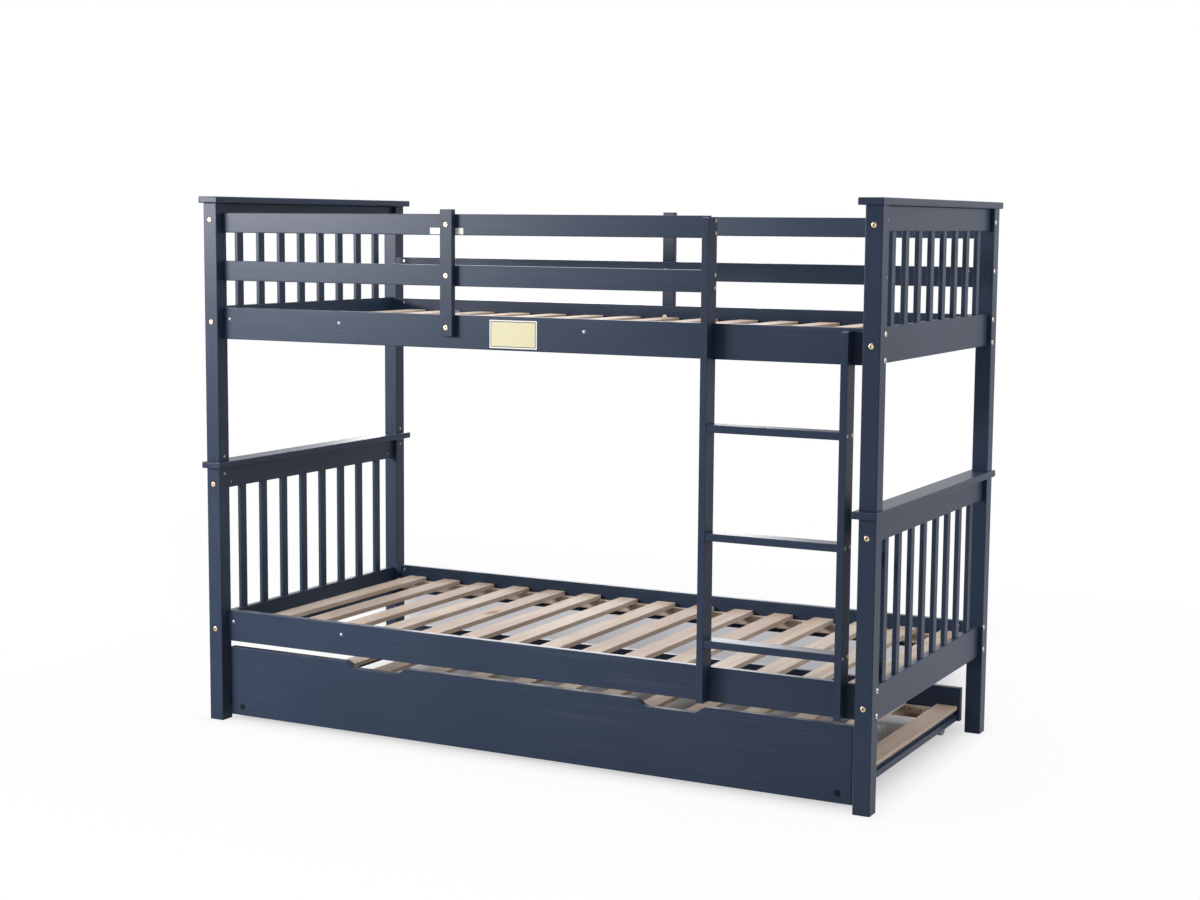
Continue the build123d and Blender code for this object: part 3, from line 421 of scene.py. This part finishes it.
def turned(section, steps=24):
    """A closed shape turned about the X axis; its outer face looks along +X."""
    bm = bmesh.new()
    points = [bm.verts.new((place, 0.0, radius)) for place, radius in section]
    for first, second in zip(points, points[1:]):
        bm.edges.new((first, second))
    bmesh.ops.spin(
        bm, geom=bm.verts[:] + bm.edges[:], cent=(0.0, 0.0, 0.0), axis=(1.0, 0.0, 0.0),
        angle=2.0 * math.pi, steps=steps, use_merge=True,
    )
    bmesh.ops.remove_doubles(bm, verts=bm.verts[:], dist=SAME_POINT)
    bmesh.ops.recalc_face_normals(bm, faces=bm.faces[:])
    return bm


def draw_in_to_hexagon(bm, radius):
    """Moves the rings of one radius in to the flats of a hexagon of that corner radius."""
    sixth = math.pi / 3.0
    for vertex in bm.verts:
        if abs(math.hypot(vertex.co.y, vertex.co.z) - radius) < SAME_POINT:
            turn = math.atan2(vertex.co.z, vertex.co.y) % sixth - sixth / 2.0
            flat = math.cos(sixth / 2.0) / math.cos(turn)
            vertex.co.y *= flat
            vertex.co.z *= flat


def add_copies(bm, pattern, places):
    """Adds a copy of a turned shape at each (place, outward direction)."""
    mesh = bpy.data.meshes.new("pattern")
    pattern.to_mesh(mesh)
    pattern.free()
    for place, outward in places:
        start = len(bm.verts)
        bm.from_mesh(mesh)
        turn = Vector((1.0, 0.0, 0.0)).rotation_difference(outward).to_matrix().to_4x4()
        bmesh.ops.transform(bm, matrix=Matrix.Translation(place) @ turn, verts=bm.verts[start:])
    bpy.data.meshes.remove(mesh)


def piece_from(bm, name, finishes, body):
    """Makes the object, shades curved faces smooth across shallow edges, and lets it ride on a body."""
    for face in bm.faces:
        face.smooth = True
    for edge in bm.edges:
        edge.smooth = edge.is_manifold and edge.calc_face_angle() < SMOOTH_BELOW
    mesh = bpy.data.meshes.new(name)
    bm.to_mesh(mesh)
    bm.free()
    for finish in finishes:
        mesh.materials.append(finish)
    piece = bpy.data.objects.new(name, mesh)
    bpy.context.scene.collection.objects.link(piece)
    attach(piece, body)
    print(name, len(mesh.polygons), "faces")
    return piece


# %% [markdown]
# ## Where the bolts are
# The construction holds each bolt as a plain shaft with a disc. The places are read from these, by gathering
# the points that lie on the outer plane of the heads, and the length is read from the points near one axis.
# Typed places would have to be changed whenever the construction is.

# %% Places and length of the plain bolts
HEAD_RADIUS = 0.0075
SHAFT_RADIUS = 0.003
SAME_PLANE = 0.0002


def head_places(name, axis):
    """The middle of each head's outer face and the direction that it looks in."""
    corners = [vertex.co for vertex in nodes[name].data.vertices]
    reach = max(abs(corner[axis]) for corner in corners)
    heads = []
    for corner in corners:
        if abs(corner[axis]) > reach - SAME_PLANE:
            near = next((head for head in heads if (head[0] - corner).length < 2.2 * HEAD_RADIUS), None)
            if near:
                near.append(corner)
            else:
                heads.append([corner])
    places = []
    for head in heads:
        middle = [(min(c[i] for c in head) + max(c[i] for c in head)) / 2.0 for i in range(3)]
        outward = Vector((0.0, 0.0, 0.0))
        outward[axis] = math.copysign(1.0, middle[axis])
        places.append((Vector(middle), outward))
    return places


def bolt_length(name, place, outward):
    """How deep the points around a bolt's axis lie, on its own side of the bed."""
    depths = []
    for vertex in nodes[name].data.vertices:
        inward = place - vertex.co
        depth = inward.dot(outward)
        beside = (inward - outward * depth).length
        if beside < 1.5 * SHAFT_RADIUS and vertex.co.dot(outward) > 0.0:
            depths.append(depth)
    return max(depths)


# %% [markdown]
# ## Socket-head bolts
# The real ones are furniture bolts: a low, wide head with a rounded rim and a hexagonal socket. The socket's
# faces get a black finish of their own, a painted shade that makes the hollow read as a dark spot. The new
# bolts take the place of the plain ones.

# %% Bolts with hexagonal sockets
HEAD_HEIGHT = 0.0020
SOCKET_RADIUS = 0.0028
SOCKET_DEPTH = 0.0036
SOCKET_RIM = 0.0001
TIP_LENGTH = 0.0015


def socket_bolt(length):
    """A low round head with a key socket, on a shaft with a pointed tip."""
    bm = turned([
        (-SOCKET_DEPTH, 0.0), (0.0002 - SOCKET_DEPTH, SOCKET_RADIUS), (-0.0002, SOCKET_RADIUS),
        (0.0, SOCKET_RADIUS + 0.0003), (-0.0001, 0.0056), (-0.0005, 0.0068), (-0.0011, 0.0074),
        (-HEAD_HEIGHT, HEAD_RADIUS), (-HEAD_HEIGHT, SHAFT_RADIUS), (TIP_LENGTH - length, SHAFT_RADIUS),
        (-length, SHAFT_RADIUS - 0.0012), (-length, 0.0),
    ])
    draw_in_to_hexagon(bm, SOCKET_RADIUS)
    # The faces inside the socket take the second finish, the black painted shade.
    for face in bm.faces:
        middle = face.calc_center_median()
        beside = math.hypot(middle.y, middle.z)
        face.material_index = int(-SOCKET_DEPTH < middle.x < -SOCKET_RIM and beside < SOCKET_RADIUS)
    return bm


for name, axis, finish, slot in (
    ("end_rail_bolts", Y, copper, "copper_bolts"),
    ("guard_upright_bolts", Y, copper, "copper_bolts"),
    ("side_rail_bolts", X, zinc, "zinc_steel"),
):
    places = head_places(name, axis)
    length = bolt_length(name, *places[0])
    bolts = bmesh.new()
    add_copies(bolts, socket_bolt(length), places)
    piece = piece_from(bolts, "socket_" + name, [finish, painted_shade_steel], "bed_frame")
    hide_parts(name)
    print(len(places), "bolts", round(length * 1000, 1), "mm long")

# %% [markdown]
# ## Studs on the front rails
# A few small silver studs dot the front rails, a third of the way down. Each is a low dome, turned like the
# bolts and set in the face of the rail. All of them are one piece, because they never part.

# %% Rail studs
STUDS_UPPER = (-0.976, -0.587, 0.2045)
STUDS_LOWER = (-0.976, -0.587)
STUD_DROP = 0.034

front = Vector((0.0, -1.0, 0.0))
stud = turned([
    (0.0017, 0.0), (0.0016, 0.0018), (0.0011, 0.0037), (0.0004, 0.0050), (-0.0002, 0.0054),
    (-0.003, 0.0050), (-0.003, 0.0),
])
studs = bmesh.new()
add_copies(studs, stud, [
    (Vector((x, rail_low.y, top - STUD_DROP)), front)
    for top, row in ((rail_high.z, STUDS_UPPER), (lower_rail_high.z, STUDS_LOWER)) for x in row
])
piece_from(studs, "rail_studs", [dull_zinc], "bed_frame")

# %% [markdown]
# ## Set screws of the post joints
# Where the upper posts stand on the lower ones, a steel pin joins them through the cap. On the inner face of
# each post a set screw locks the pin: a plain ring round a small socket, turned like the bolts.

# %% Set screws beside the caps
SET_SCREW_KEY = 0.0018
SET_SCREW_BELOW = 0.017825
SET_SCREW_ABOVE = 0.015035

set_screw = turned([
    (-0.0016, 0.0), (-0.0015, SET_SCREW_KEY), (0.0001, SET_SCREW_KEY), (0.0002, 0.0021), (0.0002, 0.0034),
    (-0.0003, 0.0040), (-0.006, 0.0040), (-0.006, 0.0),
])
draw_in_to_hexagon(set_screw, SET_SCREW_KEY)
cap_low, cap_high = box("lower_cap_left")
post_middle = (post_low.y + post_high.y) / 2.0
set_screws = bmesh.new()
add_copies(set_screws, set_screw, [
    (Vector((-end * post_high.x, side * post_middle, height)), Vector((-end, 0.0, 0.0)))
    for end in (-1.0, 1.0) for side in (-1.0, 1.0)
    for height in (cap_low.z - SET_SCREW_BELOW, cap_high.z + SET_SCREW_ABOVE)
])
piece_from(set_screws, "pin_set_screws", [zinc], "bed_frame")

# %% [markdown]
# ## Plugs of the spare bores
# The front right post has the bores of the guard boards too, though none is bolted there, so small plastic
# plugs close them. Their faces stand a little proud and catch the light, and so they are modelled and not
# painted on.

# %% Post plugs
PLUG_DROPS = (0.0385, 0.178)

plug = turned([
    (0.0006, 0.0), (0.0006, 0.0034), (0.0003, 0.0046), (-0.0002, 0.0050), (-0.004, 0.0046), (-0.004, 0.0),
])
spare_post_high = box("upper_post_front_right")[1]
board_middle = (board_low.y + board_high.y) / 2.0
plugs = bmesh.new()
add_copies(plugs, plug, [
    (Vector((spare_post_high.x, board_middle, spare_post_high.z - drop)), Vector((1.0, 0.0, 0.0)))
    for drop in PLUG_DROPS
])
piece_from(plugs, "post_plugs", [plug_plastic], "bed_frame")

# %% [markdown]
# ## Screws of the cleats
# Countersunk screws hold the cleats to the rails, eight to each cleat of the bed. Four more show on the
# trundle's rear cleat. These are a piece of their own, because a piece rides on one body, and they have to
# roll out with the trundle. All of them are black: painted shade, for the dark hollows of the screw holes.

# %% Cleat screws
CLEAT_WIDTH = 0.020
CLEAT_SCREW_KEY = 0.0012
CLEAT_SCREW_COUNT = 8
CLEAT_SCREW_SPACING = 0.268
CLEAT_SCREW_FIRST = 0.087
CLEAT_SCREW_DROP = 0.0085
TRUNDLE_SCREW_PLACES = (-0.8745, -0.841, 0.841, 0.8745)
TRUNDLE_SCREW_DROP = 0.010


def cleat_screw():
    bm = turned([
        (-0.0012, 0.0), (-0.0011, CLEAT_SCREW_KEY), (0.0002, CLEAT_SCREW_KEY), (0.0003, 0.0014),
        (0.0003, 0.0027), (-0.0001, 0.0031), (-0.004, 0.0012), (-0.012, 0.0010), (-0.013, 0.0),
    ], steps=18)
    draw_in_to_hexagon(bm, CLEAT_SCREW_KEY)
    return bm


cleat_low, cleat_high = box("bed_cleats")
cleat_face = cleat_high.y - CLEAT_WIDTH
cleat_tops = [box(slats)[0].z for slats in ("lower_bed_slats", "upper_bed_slats")]
cleat_screws = bmesh.new()
add_copies(cleat_screws, cleat_screw(), [
    (Vector((cleat_low.x + CLEAT_SCREW_FIRST + CLEAT_SCREW_SPACING * i, side * cleat_face, height)),
     Vector((0.0, -side, 0.0)))
    for side in (-1.0, 1.0)
    for height in [top - CLEAT_SCREW_DROP for top in cleat_tops]
    for i in range(CLEAT_SCREW_COUNT)
])
# Black, as painted shade of the screw holes.
piece_from(cleat_screws, "cleat_screws", [painted_shade_steel], "bed_frame")

trundle_cleat_high = box("trundle_cleats")[1]
trundle_cleat_face = trundle_cleat_high.y - CLEAT_WIDTH
trundle_screws = bmesh.new()
add_copies(trundle_screws, cleat_screw(), [
    (Vector((x, trundle_cleat_face, trundle_cleat_high.z - TRUNDLE_SCREW_DROP)), front)
    for x in TRUNDLE_SCREW_PLACES
])
# Black, as painted shade of the screw holes.
piece_from(trundle_screws, "trundle_cleat_screws", [painted_shade_steel], "trundle")

# %% [markdown]
# ## Caps of the panel
# Two dark round caps hide the screws at the lower corners of the trundle's panel. They are shallow buttons,
# turned in more steps than the bolts, because they are the widest.

# %% Panel caps
CAP_INSET = 0.040
CAP_RISE = 0.027

panel_cap = turned([
    (0.0016, 0.0), (0.0015, 0.0050), (0.0012, 0.0080), (0.0006, 0.0092), (-0.0002, 0.0095),
    (-0.002, 0.0090), (-0.002, 0.0),
], steps=32)
caps = bmesh.new()
add_copies(caps, panel_cap, [
    (Vector((x, panel_low.y, panel_low.z + CAP_RISE)), front)
    for x in (panel_low.x + CAP_INSET, panel_high.x - CAP_INSET)
])
piece_from(caps, "panel_caps", [cap_plastic], "trundle")

# %% [markdown]
# ## Paper and card
# A card is fixed to the upper front rail, and a narrow paper strip to the top guard board, partly behind the
# upright. Both are left blank. Paper is dull and nearly even: fine fibres and a soft cloud tint it a little.

# %% Paper finishes
PAPER_RELIEF = 0.00005


def paper(name, colour, fibre):
    finish = Finish(name)
    fibres = finish.noise(finish.place(), scale=900.0, detail=3.0)
    cloud = finish.noise(finish.place(), scale=30.0, detail=2.0)
    tint = finish.mix(0.6 * fibres + 0.4 * cloud, colour, fibre)
    normal = finish.bump(fibres, PAPER_RELIEF, strength=0.3)
    return finish.finish(Base_Color=tint, Roughness=0.42 + 0.1 * cloud, Normal=normal)


white_paper = paper("white_card", (0.78, 0.78, 0.75, 1.0), (0.72, 0.72, 0.69, 1.0))
cream_paper = paper("cream_card", (0.60, 0.555, 0.345, 1.0), (0.54, 0.50, 0.31, 1.0))
frame_ink = paper("frame_ink", (0.045, 0.042, 0.035, 1.0), (0.075, 0.070, 0.055, 1.0))
print("paper:", [made.name for made in (white_paper, cream_paper, frame_ink)])

# %% [markdown]
# ## Bare plates
# A plate starts as a cube drawn to size, and its corners are rounded with a bevel. The card is three of them
# in one another, each a hair thicker: the white margin, a thin dark frame, and the cream field. A printed
# picture would need an image, and layers need none. The strip is in two parts, left and right of the upright.

# %% Card and strip
CARD_LEFT, CARD_RIGHT = -0.088, 0.060
CARD_TOP_GAP, CARD_HEIGHT = 0.010, 0.077
CARD_LAYERS = ((0.0, 0.00060), (0.0030, 0.00066), (0.0054, 0.00072))
CARD_CORNER = 0.0012
STRIP_LEFT, STRIP_RIGHT = -0.280, -0.173
STRIP_RISE, STRIP_HEIGHT = 0.0025, 0.0175
STRIP_THICKNESS = 0.0002
STRIP_CORNER = 0.001


def plate(bm, left, right, bottom, top, back, thickness, corner, finish_index=0):
    """Adds a thin upright plate with rounded corners."""
    made = bmesh.ops.create_cube(bm, size=1.0)["verts"]
    bmesh.ops.scale(bm, vec=(right - left, thickness, top - bottom), verts=made)
    middle = ((left + right) / 2.0, back - thickness / 2.0, (bottom + top) / 2.0)
    bmesh.ops.translate(bm, vec=middle, verts=made)
    for face in {face for vertex in made for face in vertex.link_faces}:
        face.material_index = finish_index
    edges = {edge for vertex in made for edge in vertex.link_edges}
    across = [edge for edge in edges if abs((edge.verts[0].co - edge.verts[1].co).y) > thickness / 2.0]
    bmesh.ops.bevel(
        bm, geom=across, offset=corner, affect="EDGES", segments=4, profile=0.5, material=-1,
        clamp_overlap=True,
    )


card = bmesh.new()
card_top = rail_high.z - CARD_TOP_GAP
card_bottom = card_top - CARD_HEIGHT
for finish_index, (inset, thickness) in enumerate(CARD_LAYERS):
    plate(
        card, CARD_LEFT + inset, CARD_RIGHT - inset, card_bottom + inset, card_top - inset,
        rail_low.y, thickness, CARD_CORNER, finish_index,
    )
piece_from(card, "blank_card", [white_paper, frame_ink, cream_paper], "bed_frame")

strip = bmesh.new()
strip_bottom = board_low.z + STRIP_RISE
strip_top = strip_bottom + STRIP_HEIGHT
for left, right in ((STRIP_LEFT, upright_low.x), (upright_high.x, STRIP_RIGHT)):
    plate(strip, left, right, strip_bottom, strip_top, board_low.y, STRIP_THICKNESS, STRIP_CORNER)
piece_from(strip, "blank_strip", [white_paper], "bed_frame")

# %% [markdown]
# ## The camera
# The photograph was taken from the front right, at about the height of the upper bunk. The camera's place
# and lens were found by lining up edges of the bed with their pixels. No shift is needed.

# %% Camera
LENS_MM = 60.09
SENSOR_MM = 36.0
CAMERA_PLACE = (2.70978, -5.21049, 1.49424)
CAMERA_TURN = (1.45784, -0.00778, 0.47897)

camera_data = bpy.data.cameras.new("photo_camera")
camera_data.sensor_width = SENSOR_MM
camera_data.lens = LENS_MM
camera = bpy.data.objects.new("photo_camera", camera_data)
camera.location = CAMERA_PLACE
camera.rotation_euler = CAMERA_TURN
bpy.context.scene.collection.objects.link(camera)
bpy.context.scene.camera = camera
bpy.context.scene.view_settings.view_transform = "Standard"
print("camera", [round(c, 2) for c in camera.location])

# %% [markdown]
# ## The studio floor
# The bed was photographed on white. A floor that fades to pure white away from the bed has no visible far
# edge and still keeps the soft shadow near the feet. Under the bed and behind it the floor stays grey, and
# for the camera it is painted a darker grey there: a painted shadow of the bed. From the photograph's side
# that part is hidden by the bed and shows only between the slats. `outside` measures how far a point lies
# beyond that area, which starts as the footprint and slants to the left behind it. The fade and the painted
# shadow work only for what the camera sees, directly or mirrored, so the light that the floor throws on the
# wood stays plain.

# %% Floor
FLOOR_REACH = 30.0
FOOTPRINT = (cad_box[1][0], cad_box[1][1])
SHADE_DEPTH = 1.35
SHADE_SLANT_LEFT, SHADE_SLANT_RIGHT = 0.80, 0.36
FLOOR_GREY, FLOOR_GREY_PALE = (0.58, 0.58, 0.59, 1.0), (0.62, 0.62, 0.63, 1.0)
FLOOR_PAINTED_SHADOW = (0.38, 0.375, 0.395, 1.0)
PURE_WHITE = (1.0, 1.0, 1.0, 1.0)
MIRRORED_SHARE = 0.6
NEAR_FADE_SHARE = 0.96


def ray_kinds(finish):
    """1 for rays from the camera, from gloss and through glass; all are 0 for light on the wood."""
    return [
        finish.node("ShaderNodeLightPath", {}, output=ray)
        for ray in ("Is Camera Ray", "Is Glossy Ray", "Is Transmission Ray")
    ]


def studio_floor():
    finish = Finish("studio_floor")
    place = finish.place()
    along = finish.node("ShaderNodeSeparateXYZ", {0: place}, output="X")
    across = finish.node("ShaderNodeSeparateXYZ", {0: place}, output="Y")
    behind = across - FOOTPRINT[1]
    past_right = along + SHADE_SLANT_RIGHT * (behind | 0.0) - FOOTPRINT[0]
    past_left = 0.0 - along - SHADE_SLANT_LEFT * (behind | 0.0) - FOOTPRINT[0]
    outside = past_right | past_left | (0.0 - across - FOOTPRINT[1]) | (behind - SHADE_DEPTH)
    camera_ray, glossy_ray, glass_ray = ray_kinds(finish)
    seen = camera_ray | MIRRORED_SHARE * (glossy_ray | glass_ray)
    near_fade = finish.ramp(outside, low=-0.28, high=0.06)
    far_fade = finish.ramp(outside, low=0.1, high=1.2)
    fade = (NEAR_FADE_SHARE * near_fade + (1.0 - NEAR_FADE_SHARE) * far_fade) * seen
    mottled = finish.mix(finish.noise(place, scale=40.0, detail=2.0), FLOOR_GREY, FLOOR_GREY_PALE)
    # Inside that area, what the camera sees of the floor takes the painted shadow colour; the light that the
    # floor throws stays the plain grey.
    matt = finish.node("ShaderNodeBsdfDiffuse", {"Color": finish.mix(seen, mottled, FLOOR_PAINTED_SHADOW)})
    white = finish.node("ShaderNodeEmission", {"Color": PURE_WHITE, "Strength": 1.0})
    return finish.shown(finish.node("ShaderNodeMixShader", {0: fade, 1: matt, 2: white}))


floor_mesh = bpy.data.meshes.new("studio_floor")
bm = bmesh.new()
bmesh.ops.create_grid(bm, x_segments=2, y_segments=2, size=FLOOR_REACH)
bm.to_mesh(floor_mesh)
bm.free()
floor_mesh.materials.append(studio_floor())
floor = bpy.data.objects.new("studio_floor", floor_mesh)
bpy.context.scene.collection.objects.link(floor)
print("floor from", [round(c) for c in floor_mesh.vertices[0].co], "grey to", SHADE_DEPTH, "m behind the bed")

# %% [markdown]
# ## The air around
# The world is the backdrop and a part of the light. It is pure white where it is seen or mirrored, and a
# plain dim light for the rest. The satin paint mirrored a darker room behind the photograph's camera, which
# gives the fronts their deep tone, so in gloss the air is dimmed on that side. A direction's Y tells the
# side.

# %% Backdrop
AIR_LIGHT = 0.28
FRONT_DIMMING = 0.75


def studio_air():
    air = Finish("studio_world", holder=bpy.data.worlds)
    direction = air.node("ShaderNodeTexCoord", {}, output="Generated")
    backwards = air.node("ShaderNodeSeparateXYZ", {0: direction}, output="Y")
    camera_ray, glossy_ray, glass_ray = ray_kinds(air)
    dimmed = FRONT_DIMMING * glossy_ray * (1.0 - air.ramp(backwards, low=-0.7, high=0.2))
    strength = AIR_LIGHT + (1.0 - AIR_LIGHT) * (camera_ray | glossy_ray | glass_ray) - dimmed
    light = air.node("ShaderNodeBackground", {"Color": PURE_WHITE, "Strength": strength})
    return air.shown(light, output="ShaderNodeOutputWorld")


bpy.context.scene.world = studio_air()
print("backdrop", bpy.context.scene.world.name)

# %% [markdown]
# ## Lamps
# Large lamps give soft shadows. The main one stands at the left front: the satin rails catch it on their left
# halves and grow darker towards the right, as in the photograph. A weaker one behind the bed keeps its back
# from going black, a small one at the right does the same for that end and the trundle's slats, and a large
# one overhead keeps the tops of the slats pale.

# %% Lamps
MID_BED = (0.0, 0.0, 0.8)
RIGHT_END = (0.9, 0.0, 0.5)
FLOOR_MIDDLE = (0.0, 0.0, 0.0)


def soft_lamp(name, place, aim, size, power):
    data = bpy.data.lights.new(name, "AREA")
    data.shape = "RECTANGLE"
    data.size, data.size_y = size
    data.energy = power
    lamp = bpy.data.objects.new(name, data)
    lamp.location = place
    lamp.rotation_euler = (Vector(aim) - Vector(place)).to_track_quat("-Z", "Y").to_euler()
    bpy.context.scene.collection.objects.link(lamp)
    print(name, power, "W")


soft_lamp("key_lamp", (-3.4, -3.7, 1.95), MID_BED, size=(2.2, 0.4), power=265.0)
soft_lamp("rear_lamp", (-2.6, 4.6, 2.2), MID_BED, size=(2.4, 2.0), power=90.0)
soft_lamp("side_lamp", (3.6, 0.6, 1.5), RIGHT_END, size=(1.5, 1.0), power=45.0)
soft_lamp("top_lamp", (0.0, -0.1, 4.6), FLOOR_MIDDLE, size=(4.0, 3.0), power=190.0)
